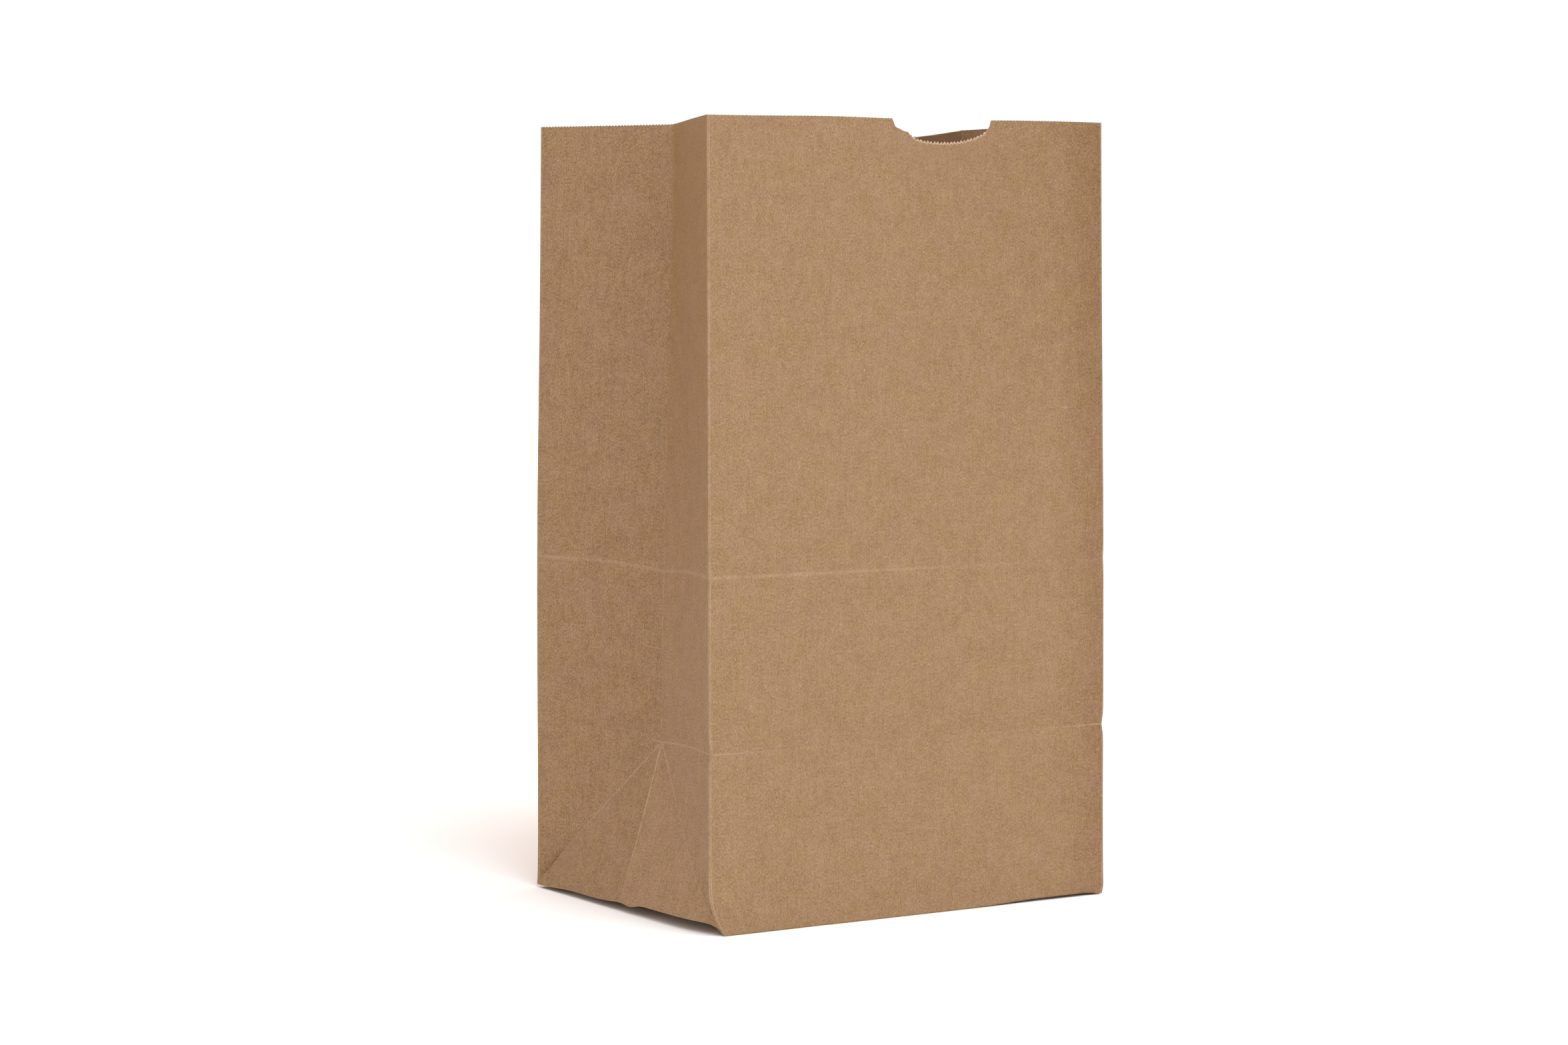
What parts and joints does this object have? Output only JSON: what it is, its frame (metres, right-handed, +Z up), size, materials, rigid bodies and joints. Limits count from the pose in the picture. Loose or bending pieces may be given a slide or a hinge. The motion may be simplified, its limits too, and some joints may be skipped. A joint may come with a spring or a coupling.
{
  "type": "paper bag",
  "caption": "Open standing kraft paper bag with a square glued bottom, gusseted sides that fold in at a centre crease, a thumb notch in the front edge and a mouth that pinches shut.",
  "frame": {"origin": "centre of the base, on the surface that the bag stands on", "axes": "+Z up, +X to the right along the front panel, +Y from the front panel to the back panel"},
  "size_m": [0.206, 0.151, 0.3452],
  "materials": {
    "kraft_outside": "uncoated kraft paper, matte, fine fibre mottling",
    "kraft_inside": "uncoated kraft paper, matte, the slightly rougher inner side",
    "paste": "dried starch paste, satin"
  },
  "bodies": {
    "base": {"front_flap": "kraft_outside", "back_flap": "kraft_outside", "back_flap_lap": "kraft_outside", "left_tuck": "kraft_inside", "right_tuck": "kraft_inside", "bottom_paste": "paste"},
    "front": {"front_lower": "kraft_outside", "front_middle": "kraft_outside", "front_upper": "kraft_outside"},
    "back": {"back_lower": "kraft_outside", "back_middle": "kraft_outside", "back_upper": "kraft_outside", "seam_lap": "kraft_inside", "seam_paste": "paste"},
    "left_gusset": {"left_lower_front": "kraft_outside", "left_lower_back": "kraft_outside", "left_inner_front": "kraft_outside", "left_inner_back": "kraft_outside"},
    "right_gusset": {"right_lower_front": "kraft_outside", "right_lower_back": "kraft_outside", "right_inner_front": "kraft_outside", "right_inner_back": "kraft_outside"},
    "left_front_fold": {"left_outer_front": "kraft_outside"},
    "left_back_fold": {"left_outer_back": "kraft_outside"},
    "right_front_fold": {"right_outer_front": "kraft_outside"},
    "right_back_fold": {"right_outer_back": "kraft_outside"}
  },
  "joints": [
    {"name": "front_wall_hinge", "type": "hinge", "parent": "base", "child": "front", "pos_m": [0, -0.07532, 0.00018], "axis": [-1, 0, 0], "range_deg": [0, 11.46]},
    {"name": "back_wall_hinge", "type": "hinge", "parent": "base", "child": "back", "pos_m": [0, 0.07532, 0.00018], "axis": [1, 0, 0], "range_deg": [0, 11.51]},
    {"name": "left_gusset_hinge", "type": "hinge", "parent": "base", "child": "left_gusset", "pos_m": [-0.10282, 0, 0.00074], "axis": [0, 1, 0], "range_deg": [0, 8.51]},
    {"name": "right_gusset_hinge", "type": "hinge", "parent": "base", "child": "right_gusset", "pos_m": [0.10282, 0, 0.00074], "axis": [0, -1, 0], "range_deg": [0, 8.51]},
    {"name": "left_front_fold_hinge", "type": "hinge", "parent": "front", "child": "left_front_fold", "pos_m": [-0.10282, -0.07532, 0.00018], "axis": [0, -0.0124, -0.9999], "range_deg": [0, 68.66]},
    {"name": "right_front_fold_hinge", "type": "hinge", "parent": "front", "child": "right_front_fold", "pos_m": [0.10282, -0.07532, 0.00018], "axis": [0, 0.0124, 0.9999], "range_deg": [0, 68.66]},
    {"name": "left_back_fold_hinge", "type": "hinge", "parent": "back", "child": "left_back_fold", "pos_m": [-0.10282, 0.07532, 0.00018], "axis": [0, -0.0124, 0.9999], "range_deg": [0, 68.66]},
    {"name": "right_back_fold_hinge", "type": "hinge", "parent": "back", "child": "right_back_fold", "pos_m": [0.10282, 0.07532, 0.00018], "axis": [0, 0.0124, -0.9999], "range_deg": [0, 68.66]}
  ],
  "couplings": [
    {"joint": "back_wall_hinge", "follows": "front_wall_hinge", "ratio": 1},
    {"joint": "left_gusset_hinge", "follows": "front_wall_hinge", "ratio": 0.73805},
    {"joint": "right_gusset_hinge", "follows": "front_wall_hinge", "ratio": 0.73805},
    {"joint": "left_front_fold_hinge", "follows": "front_wall_hinge", "ratio": 5.9856},
    {"joint": "left_back_fold_hinge", "follows": "front_wall_hinge", "ratio": 5.9856},
    {"joint": "right_front_fold_hinge", "follows": "front_wall_hinge", "ratio": 5.9856},
    {"joint": "right_back_fold_hinge", "follows": "front_wall_hinge", "ratio": 5.9856}
  ]
}
